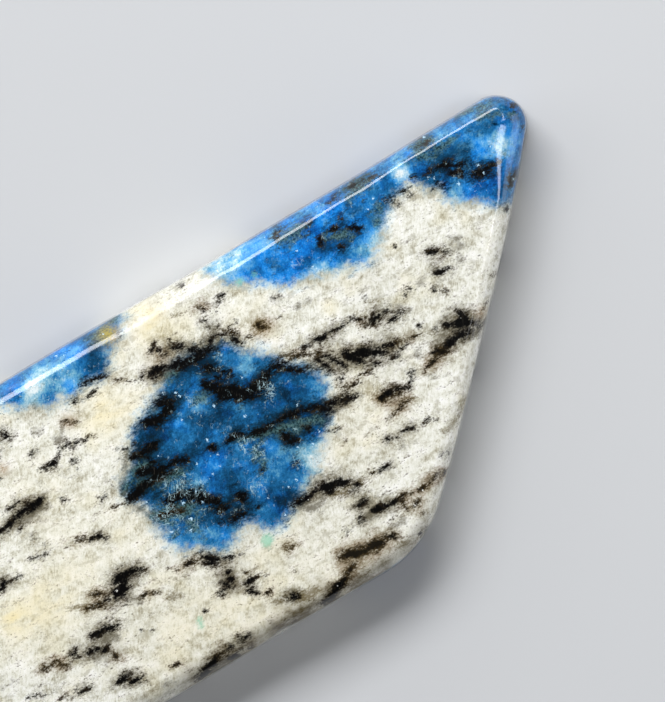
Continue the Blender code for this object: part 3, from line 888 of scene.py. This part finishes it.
class Stone:
    """The stone's skin as arrays, and the streaks that mark it."""

    def __init__(self):
        points, normals = outline()
        self.edge = points
        self.edge_normals = normals
        self.rings = side_rings(points, normals)
        self.streaks = {name: streak_array(marks, self.top) for name, marks in STROKES.items()}
        random = np.random.default_rng(STREAK_SEED)
        hidden = hidden_streaks(random, self.top)
        kinds = random.random(len(hidden))
        for name, (low, high) in SEEDED_SHARES.items():
            seeded = hidden[(kinds >= low) & (kinds < high)]
            self.streaks[name] = np.concatenate([self.streaks[name], seeded])

    def top(self, plan):
        """Height of the top surface over plan points, also where the shoulder falls away."""
        plan = np.atleast_2d(plan)
        heights = face_height(plan)
        for index, place in enumerate(plan):
            gap = self.edge - place
            nearest = np.argmin(np.sum(gap**2, axis=1))
            inset = gap[nearest] @ self.edge_normals[nearest]
            column = self.rings[BACK_EDGE_RINGS + GIRDLE_RINGS :, nearest]
            insets = (self.edge[nearest] - column[:, :2]) @ self.edge_normals[nearest]
            if inset < insets[-1]:
                heights[index] = np.interp(inset, insets, column[:, 2])
        return heights

    def fields(self, points):
        """Every marking's value at points of the skin."""
        below = np.maximum(face_height(points) - points[:, 2], 0)
        values = {}
        for name, rows in self.streaks.items():
            values[name], shade = streak_fields(points, rows)
            if name in SHADING_STREAKS:
                values[name + "_shade"] = shade
        values["azurite"] = azurite_field(points)
        for name, spots in SOFT_SPOTS.items():
            values[name] = soft_field(points, spots, below)
        values["worn"] = np.minimum(values["worn"], 1)
        values["dusk"] = np.minimum(values["dusk"] * STAIN_AND_PAINTED_SHADE_STRENGTH, 1)
        return values

    def inner_points(self, ring, height, fine, coarse, with_lines):
        """Points inside a ring: dense along the streaks, coarse in the plain granite."""
        candidates = []
        if with_lines:
            candidates += [self.streak_lines(name) for name in ("glint", "biotite", "brown", "navy")]
        close = grid(ring, fine)
        above = np.column_stack([close, height(close)])
        detail = np.full(len(close), -STREAK_REACH)
        for name in ("biotite", "brown", "olive", "smoky", "malachite"):
            detail = np.maximum(detail, streak_fields(above, self.streaks[name])[0])
        candidates.append(close[(detail > STREAK_RIM[0] * fine) & (detail < STREAK_RIM[1] * fine)])
        middle = grid(ring, MIDDLE_GRID)
        rim = azurite_field(np.column_stack([middle, height(middle)]))
        candidates.append(middle[rim > AZURITE_RIM])
        candidates.append(grid(ring, coarse))
        points = np.concatenate(candidates)
        points = points[ring_distance(points, ring[::4]) > CREST_MARGIN]
        return one_per_cell(points, CLOSEST_POINTS)

    def streak_lines(self, name):
        """Points along the middle lines of one kind of streak."""
        lines = []
        for row in self.streaks[name]:
            if face_height(row[:2]) - row[2] > SURFACE_DEPTH:
                continue
            length = np.hypot(*(row[3:5] - row[:2]))
            shares = np.linspace(0, 1, int(length / FINE_GRID) + 2)[:, None]
            lines.append(row[:2] + (row[3:5] - row[:2]) * shares)
        return np.concatenate(lines)

    def cap(self, level, height, grids, with_lines, inner_start):
        """New points, and faces that close the skin inside one of its rings."""
        rings, columns = self.rings.shape[:2]
        rim = self.rings[level][:, :2]
        flat, triangles = stitched(rim, self.inner_points(rim, height, *grids, with_lines))
        new = flat[columns:]
        rim_start = (level % rings) * columns
        faces = [renumbered(face, columns, rim_start, inner_start) for face in triangles]
        return np.column_stack([new, height(new)]), faces

    def side_faces(self):
        """The faces between each ring and the next."""
        rings, columns = self.rings.shape[:2]
        faces = []
        for low in range(0, (rings - 1) * columns, columns):
            high = low + columns
            for i in range(columns):
                j = (i + 1) % columns
                faces.append((low + i, low + j, high + j, high + i))
        return faces

    def mesh(self):
        """The closed skin with every marking stored on its points."""
        side = self.rings.reshape(-1, 3)
        top_grids = (FINE_GRID, COARSE_GRID)
        back_grids = (BACK_FINE_GRID, BACK_COARSE_GRID)
        face, face_faces = self.cap(-1, face_height, top_grids, True, len(side))
        back, back_faces = self.cap(0, back_height, back_grids, False, len(side) + len(face))
        skin = np.concatenate([side, face, back])
        faces = self.side_faces() + face_faces + [corners[::-1] for corners in back_faces]
        data = bpy.data.meshes.new("polished_stone")
        data.from_pydata((skin * MM).tolist(), [], faces)
        for name, values in self.fields(skin).items():
            layer = data.attributes.new(name, "FLOAT", "POINT")
            layer.data.foreach_set("value", values.astype(np.float32))
        data.shade_smooth()
        return data


def renumbered(face, rim_count, rim_start, inner_start):
    """A disc's triangle with its rim on the ring that starts at rim_start."""
    return tuple(
        rim_start + corner if corner < rim_count else inner_start + corner - rim_count
        for corner in face
    )


class Shader:
    """Short calls that add linked nodes to one material. Sockets and plain numbers mix freely."""

    def __init__(self, name):
        self.material = bpy.data.materials.new(name)
        self.material.use_nodes = True
        self.tree = self.material.node_tree
        self.surface = self.tree.nodes["Principled BSDF"]

    def node(self, kind, inputs, **settings):
        node = self.tree.nodes.new(kind)
        for key, value in settings.items():
            setattr(node, key, value)
        for key, value in inputs.items():
            self.plug(node.inputs[key], value)
        return node

    def plug(self, socket, value):
        if isinstance(value, bpy.types.NodeSocket):
            self.tree.links.new(value, socket)
        elif value is not None:
            socket.default_value = value

    def value(self, name):
        return self.node("ShaderNodeAttribute", {}, attribute_name=name).outputs["Fac"]

    def calc(self, operation, first, second=None, third=None):
        inputs = {0: first, 1: second, 2: third}
        return self.node("ShaderNodeMath", inputs, operation=operation).outputs[0]

    def sum_of(self, *terms):
        """Adds (weight, value) terms."""
        total = 0.0
        for weight, value in terms:
            total = self.calc("MULTIPLY_ADD", value, weight, total)
        return total

    def smooth(self, value, low, high, out_low=0.0, out_high=1.0):
        inputs = {"Value": value, "From Min": low, "From Max": high, "To Min": out_low, "To Max": out_high}
        return self.node("ShaderNodeMapRange", inputs, interpolation_type="SMOOTHSTEP").outputs[0]

    def noise(self, place, scale=1.0, detail=2.0, roughness=0.5, distortion=0.0):
        """Noise about zero with a spread of about one."""
        inputs = {
            "Vector": place, "Scale": scale, "Detail": detail, "Roughness": roughness,
            "Distortion": distortion,
        }
        raw = self.node("ShaderNodeTexNoise", inputs).outputs["Fac"]
        return self.calc("MULTIPLY_ADD", raw, 1 / NOISE_SPREAD, -0.5 / NOISE_SPREAD)

    def curls(self, place, scale, width):
        """Thin curling lines, 1 on a line and 0 off it, where a noise crosses zero."""
        level = self.calc("ABSOLUTE", self.noise(place, scale, 1.5, 0.5))
        return self.smooth(level, 0.0, width, 1.0, 0.0)

    def warped(self, place, scale, amount):
        """The place pushed about by a noise."""
        push = self.node("ShaderNodeTexNoise", {"Vector": place, "Scale": scale, "Detail": 1.0})
        inputs = {0: push.outputs["Color"], 1: (amount, amount, amount), 2: place}
        return self.node("ShaderNodeVectorMath", inputs, operation="MULTIPLY_ADD").outputs[0]

    def cells(self, place, scale):
        """Voronoi cells: distance to the cell's middle, and a random number per cell."""
        node = self.node("ShaderNodeTexVoronoi", {"Vector": place, "Scale": scale})
        random = self.node("ShaderNodeSeparateColor", {"Color": node.outputs["Color"]})
        return node.outputs["Distance"], random.outputs["Red"]

    def mix(self, share, first, second, blend="MIX"):
        inputs = {"Factor": share, 6: first, 7: second}
        node = self.node("ShaderNodeMix", inputs, data_type="RGBA", blend_type=blend)
        return node.outputs[2]

    def stained(self, colour, stain, amount, low, high, most=1.0, blend="MIX"):
        """The colour with a stain that rises from nothing at one amount to the most at another."""
        return self.mix(self.smooth(amount, low, high, 0.0, most), colour, stain, blend)

    def ramp(self, value, stops):
        node = self.node("ShaderNodeValToRGB", {"Fac": value})
        elements = node.color_ramp.elements
        while len(elements) < len(stops):
            elements.new(0.5)
        for element, (position, colour) in zip(elements, stops):
            element.position = position
            element.color = colour
        return node.outputs["Color"]

    def place(self, stretch=(1, 1, 1), turn=0.0):
        """The stone's own coordinates in millimetres, turned about Z and then stretched."""
        here = self.node("ShaderNodeTexCoord", {}).outputs["Object"]
        size = tuple(axis * MM for axis in stretch)
        inputs = {"Vector": here, "Rotation": (0, 0, turn), "Scale": size}
        return self.node("ShaderNodeMapping", inputs, vector_type="TEXTURE").outputs[0]


def stone_noises(shader):
    """The noises that several minerals share, each read in the stone's own millimetres."""
    place = shader.place()
    along = shader.place(stretch=(1.7, 0.85, 1.1), turn=STREAK_LIE)
    needles = shader.place(stretch=(1.3, 0.9, 1.1), turn=STREAK_LIE)
    hairs = shader.warped(shader.place(stretch=(2.5, 0.8, 1.4), turn=FIBRE_LIE), 2.0, 0.7)
    crossing = shader.warped(shader.place(stretch=(0.9, 2.2, 1.4), turn=FIBRE_LIE), 2.0, 0.8)
    return {
        "place": place,
        "along": along,
        "hairs": hairs,
        "crossing": crossing,
        "fine": shader.noise(place, 7.0, 2.0, 0.6),
        "grit": shader.noise(place, 12.0, 1.0),
        "fray": shader.noise(needles, 8.0, 3.0, 0.65),
        "wide": shader.noise(along, 1.8, 3.0, 0.6),
        "round": shader.noise(place, 1.9, 4.0, 0.62),
        "clouds": shader.noise(along, 0.9, 3.0, 0.55),
        "fibre": shader.noise(hairs, 6.5, 1.0, 0.5),
    }


def with_specks(shader, colour, speck, place, scale, crowd, radii, most):
    """The colour with a round speck in as many of the cells as the crowd says."""
    distance, chance = shader.cells(place, scale)
    chosen = shader.calc("LESS_THAN", chance, crowd)
    share = shader.calc("MULTIPLY", chosen, shader.smooth(distance, *radii, most, 0.0))
    return shader.mix(share, colour, speck)


def granite_colour(shader, noises):
    """White feldspar, translucent grey quartz, fine grain, cream stains, small dark specks, brown stain and
    painted shade.
    """
    brightness = shader.sum_of(
        (0.024, noises["fine"]), (0.062, noises["clouds"]), (0.062, noises["round"]),
        (0.036, noises["fibre"]), (0.012, noises["grit"]), (0.508, 1.0),
    )
    base = shader.ramp(brightness, GRANITE_TONES)
    quartz = shader.sum_of((1.0, shader.noise(noises["along"], 1.5, 3.0, 0.6)), (0.2, noises["fray"]))
    base = shader.stained(base, GREY_QUARTZ, quartz, 0.7, 2.2, 0.45)
    near_mica = shader.value("biotite_shade")
    flakes = shader.sum_of((1.0, noises["fray"]), (0.5, noises["clouds"]), (1.2, near_mica))
    base = shader.stained(base, MICA_FLAKE, flakes, 2.5, 3.2, 0.75)
    base = with_specks(shader, base, BROWN_SPECK, noises["place"], 1.35, 0.14, (0.05, 0.11), 0.7)
    crowd = shader.sum_of((0.3, near_mica), (0.02, noises["clouds"]), (0.016, 1.0))
    base = with_specks(shader, base, DARK_SPECK, noises["along"], 2.7, crowd, (0.1, 0.24), 0.75)
    warmth = shader.noise(noises["place"], 0.33, 2.0)
    base = shader.stained(base, WARM_STAIN, warmth, 0.2, 2.2, 0.3, "MULTIPLY")
    cream = shader.calc("MULTIPLY", shader.value("cream"), shader.smooth(noises["clouds"], -2, 2, 0.3, 0.75))
    base = shader.mix(cream, base, CREAM)
    # Brown stain and painted shade, the shade mostly along the lower edge
    dusk = shader.calc("MULTIPLY", shader.value("dusk"), shader.smooth(noises["wide"], -2, 2, 0.55, 1.0))
    return shader.mix(dusk, base, STAIN_AND_PAINTED_SHADE_TINT, "MULTIPLY")


def azurite_colour(shader, noises):
    """Blue from teal navy over cobalt to a chalky pale blue, with painted haze of reflected light on the
    shoulders.
    """
    blotch = shader.noise(noises["place"], 0.62, 2.0, 0.5)
    mottle = shader.noise(noises["place"], 2.2, 3.0, 0.6)
    rim = shader.smooth(shader.value("azurite"), 0.0, 0.8, 0.12, 0.0)
    # The pale spots include painted haze: reflected light on the shoulder bands, painted as paler blue
    paleness = shader.sum_of(
        (0.42, shader.value("pale")), (0.055, blotch), (0.034, mottle), (0.016, noises["fine"]),
        (0.016, noises["fibre"]), (0.012, noises["grit"]), (1.0, rim), (0.07, shader.value("cobalt")),
        (0.385, 1.0),
    )
    hue_noise = shader.noise(noises["place"], 0.9, 2.0)
    hue = shader.sum_of((0.9, shader.value("cobalt")), (0.16, hue_noise), (0.03, 1.0))
    teal = shader.ramp(paleness, TEAL_TONES)
    return shader.stained(teal, shader.ramp(paleness, COBALT_TONES), hue, -0.1, 1.0)


def frayed(shader, name, noises, fine=0.1, wide=0.08):
    """A marking's depth in millimetres with its edge made ragged."""
    return shader.sum_of((1.0, shader.value(name)), (fine, noises["fray"]), (wide, noises["wide"]))


def with_azurite(shader, noises, granite):
    """The granite stained by azurite, and how much of each place is azurite."""
    edge = shader.sum_of((1.0, frayed(shader, "azurite", noises, 0.03, 0.07)), (0.13, noises["round"]))
    share = shader.smooth(edge, -0.48, 0.46)
    fringe = shader.mix(shader.smooth(noises["clouds"], -1.0, 1.0), *FRINGE_TONES)
    colour = shader.stained(granite, fringe, edge, -0.95, 0.1, 0.5)
    return shader.mix(share, colour, azurite_colour(shader, noises)), share


def with_shade(shader, noises, colour, azurite_share):
    """Smoky depth round the micas: brown-grey in the granite, dark teal in the azurite."""
    shade = frayed(shader, "biotite_shade", noises, 0.09, 0.1)
    in_granite = shader.stained(colour, BIOTITE_STAIN, shade, 0.06, 0.95, 0.85, "MULTIPLY")
    in_azurite = shader.stained(colour, BIOTITE_SHADE, shade, 0.0, 0.9, 0.9)
    colour = shader.mix(azurite_share, in_granite, in_azurite)
    brown = frayed(shader, "brown_shade", noises, 0.09, 0.1)
    return shader.stained(colour, BROWN_STAIN, brown, 0.05, 0.9, 0.8, "MULTIPLY")


def with_soft_minerals(shader, noises, colour, azurite_share):
    """Navy clouds, smoky quartz, rust and olive stains."""
    navy = frayed(shader, "navy", noises, 0.08, 0.12)
    colour = shader.stained(colour, NAVY_CLOUD, navy, -0.75, 0.65, 0.75)
    smoky = shader.sum_of((1.0, frayed(shader, "smoky", noises, 0.06, 0.1)), (0.1, noises["round"]))
    veil = shader.mix(shader.smooth(noises["fine"], -2.2, 2.2), *SMOKY_VEIL)
    smoke = shader.mix(azurite_share, SMOKE, veil)
    colour = shader.stained(colour, smoke, smoky, -0.42, 0.36, 0.84)
    rust = shader.calc("MULTIPLY", shader.value("rust"), shader.smooth(noises["fine"], -2, 2, 0.4, 0.9))
    colour = shader.mix(rust, colour, shader.mix(azurite_share, RUST, YELLOW_RUST))
    olive = frayed(shader, "olive", noises, 0.09, 0.08)
    return shader.stained(colour, OLIVE, olive, -0.3, 0.26, 0.75)


def with_micas(shader, noises, colour):
    """Brown weathered mica and black biotite, and how much of each place is biotite."""
    brown = frayed(shader, "brown", noises, 0.07, 0.07)
    core = shader.sum_of((2.6, shader.value("brown")), (0.28, noises["wide"]), (0.16, noises["fine"]))
    brown_colour = shader.mix(shader.smooth(core, -0.3, 1.0), *BROWN_MICA_TONES)
    colour = shader.stained(colour, brown_colour, brown, -0.2, 0.16, 0.98)
    biotite = frayed(shader, "biotite", noises, 0.06, 0.07)
    biotite = shader.sum_of((1.0, biotite), (0.06, noises["round"]))
    dark_colour = shader.stained(BLACK_MICA, MICA_SHEEN, noises["fibre"], 1.5, 3.2)
    bronze = shader.sum_of((1.0, noises["round"]), (0.5, noises["fray"]), (-4.0, biotite))
    dark_colour = shader.stained(dark_colour, BRONZE_RIM, bronze, -0.2, 1.6, 0.8)
    share = shader.smooth(biotite, -0.22, 0.16, 0.0, 0.995)
    return shader.mix(share, colour, dark_colour), share


def with_threads(shader, noises, colour, azurite_share):
    """Two crossing sets of pale crystal threads, broken up, in the azurite alone."""
    threads = shader.curls(noises["hairs"], 3.0, 0.36)
    crossing = shader.curls(noises["crossing"], 2.6, 0.26)
    curls = shader.calc("MAXIMUM", threads, crossing)
    broken = shader.sum_of((1.2, shader.value("grains")), (0.3, noises["round"]), (-0.22, 1.0))
    share = shader.calc("MULTIPLY", curls, shader.smooth(broken, 0.0, 0.8, 0.0, 0.75))
    share = shader.calc("MULTIPLY", share, azurite_share)
    return shader.mix(share, colour, CRYSTAL_THREAD)


def with_malachite_threads_and_painted_glints(shader, noises, colour, azurite_share):
    """Malachite, crystal threads, and painted highlights: small painted sparkles and single painted glints.
    """
    malachite = frayed(shader, "malachite", noises, 0.06, 0.05)
    green = shader.ramp(malachite, MALACHITE_TONES)
    colour = shader.stained(colour, green, malachite, -0.3, 0.3, 0.8)
    colour = with_threads(shader, noises, colour, azurite_share)
    # Painted sparkles: tiny bright dots that stand in for light off the grains
    painted_sparkle = shader.mix(azurite_share, PAINTED_GRAIN_SPARKLE, PAINTED_BLUE_SPARKLE)
    near_mica = shader.value("biotite_shade")
    crowd = shader.sum_of((0.1, shader.value("grains")), (0.02, azurite_share), (0.035, near_mica))
    colour = with_specks(shader, colour, painted_sparkle, noises["place"], 2.3, crowd, (0.04, 0.15), 0.7)
    # Painted glints: single bright dots that stand in for light off crystal faces
    glint = shader.sum_of((1.0, shader.value("glint")), (0.022, noises["fine"]), (0.03, noises["grit"]))
    painted_glint_colour = shader.mix(azurite_share, PAINTED_GRAIN_GLINT, PAINTED_BLUE_GLINT)
    return shader.stained(colour, painted_glint_colour, glint, -0.05, 0.06, 0.93)


def stone_material():
    """The whole stone: granite, azurite, micas, stains, malachite and glints under one polish."""
    shader = Shader("azurite_granite")
    noises = stone_noises(shader)
    granite = granite_colour(shader, noises)
    colour, azurite_share = with_azurite(shader, noises, granite)
    colour = with_shade(shader, noises, colour, azurite_share)
    colour = with_soft_minerals(shader, noises, colour, azurite_share)
    colour, biotite_share = with_micas(shader, noises, colour)
    colour = with_malachite_threads_and_painted_glints(shader, noises, colour, azurite_share)
    shader.plug(shader.surface.inputs["Base Color"], colour)
    roughness = shader.sum_of(
        (0.006, noises["fine"]), (0.05, biotite_share), (0.04, azurite_share),
        (0.32, shader.value("worn")), (POLISH_ROUGHNESS, 1.0),
    )
    shader.plug(shader.surface.inputs["Roughness"], roughness)
    shader.surface.inputs["IOR"].default_value = STONE_IOR
    relief = shader.sum_of((0.05, noises["fine"]), (-0.5, biotite_share), (0.03, noises["fibre"]))
    inputs = {"Height": relief, "Strength": RELIEF_STRENGTH, "Distance": RELIEF_DEPTH * MM}
    bump = shader.node("ShaderNodeBump", inputs)
    shader.plug(shader.surface.inputs["Normal"], bump.outputs["Normal"])
    return shader.material


def make_stone():
    """The one piece of stone, riding on the body of the part."""
    data = Stone().mesh()
    data.materials.append(stone_material())
    stone = bpy.data.objects.new("azurite_granite_cabochon", data)
    bpy.context.scene.collection.objects.link(stone)
    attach(stone, "root")
    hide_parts("polished_stone")
    return stone


def picture_axes():
    """The picture's right and up directions in the row frame."""
    right = Vector((math.cos(PHOTO_TURN), -math.sin(PHOTO_TURN), 0))
    up = Vector((math.sin(PHOTO_TURN), math.cos(PHOTO_TURN), 0))
    return right, up


def picture_middle():
    """The plan position under the photograph's centre."""
    return Vector((*from_photo((PHOTO_PIXELS[0] / 2, PHOTO_PIXELS[1] / 2)), 0))


def make_camera():
    data = bpy.data.cameras.new("camera")
    data.sensor_fit = "HORIZONTAL"
    data.sensor_width = SENSOR
    data.lens = SENSOR * (CAMERA_DISTANCE - SHARP_HEIGHT) / (PHOTO_PIXELS[0] * PIXEL)
    data.clip_start = CLIP_START * MM
    data.clip_end = CLIP_END * MM
    camera = bpy.data.objects.new("camera", data)
    right, up = picture_axes()
    place = (picture_middle() + Vector((0, 0, CAMERA_DISTANCE))) * MM
    turn = Matrix((right, up, Vector((0, 0, 1)))).transposed().to_4x4()
    camera.matrix_world = Matrix.Translation(place) @ turn
    bpy.context.scene.collection.objects.link(camera)
    bpy.context.scene.camera = camera


def make_lights():
    right, up = picture_axes()
    for name, from_zenith, round_right, distance, width, length, power in LIGHTS:
        level = math.cos(math.radians(round_right)) * up + math.sin(math.radians(round_right)) * right
        tilt = math.radians(from_zenith)
        aim = level * math.sin(tilt) + Vector((0, 0, math.cos(tilt)))
        data = bpy.data.lights.new(name, "AREA")
        data.shape = "RECTANGLE"
        data.size = length * MM
        data.size_y = width * MM
        data.energy = power
        light = bpy.data.objects.new(name, data)
        sideways = level.cross(Vector((0, 0, 1))).normalized()
        turn = Matrix((sideways, aim.cross(sideways), aim)).transposed().to_4x4()
        light.matrix_world = Matrix.Translation((picture_middle() + aim * distance) * MM) @ turn
        bpy.context.scene.collection.objects.link(light)


def make_world():
    world = bpy.data.worlds.new("studio")
    world.use_nodes = True
    background = world.node_tree.nodes["Background"]
    background.inputs["Color"].default_value = WORLD_COLOUR
    background.inputs["Strength"].default_value = WORLD_STRENGTH
    bpy.context.scene.world = world


def make_floor():
    half = FLOOR_SIZE / 2 * MM
    corners = [(-half, -half, 0), (half, -half, 0), (half, half, 0), (-half, half, 0)]
    data = bpy.data.meshes.new("floor")
    data.from_pydata(corners, [], [(0, 1, 2, 3)])
    shader = Shader("floor")
    shader.surface.inputs["Base Color"].default_value = FLOOR_COLOUR
    shader.surface.inputs["Roughness"].default_value = FLOOR_ROUGHNESS
    data.materials.append(shader.material)
    floor = bpy.data.objects.new("floor", data)
    bpy.context.scene.collection.objects.link(floor)


def main():
    bpy.context.scene.view_settings.view_transform = "Standard"
    make_stone()
    make_floor()
    make_world()
    make_lights()
    make_camera()


main()
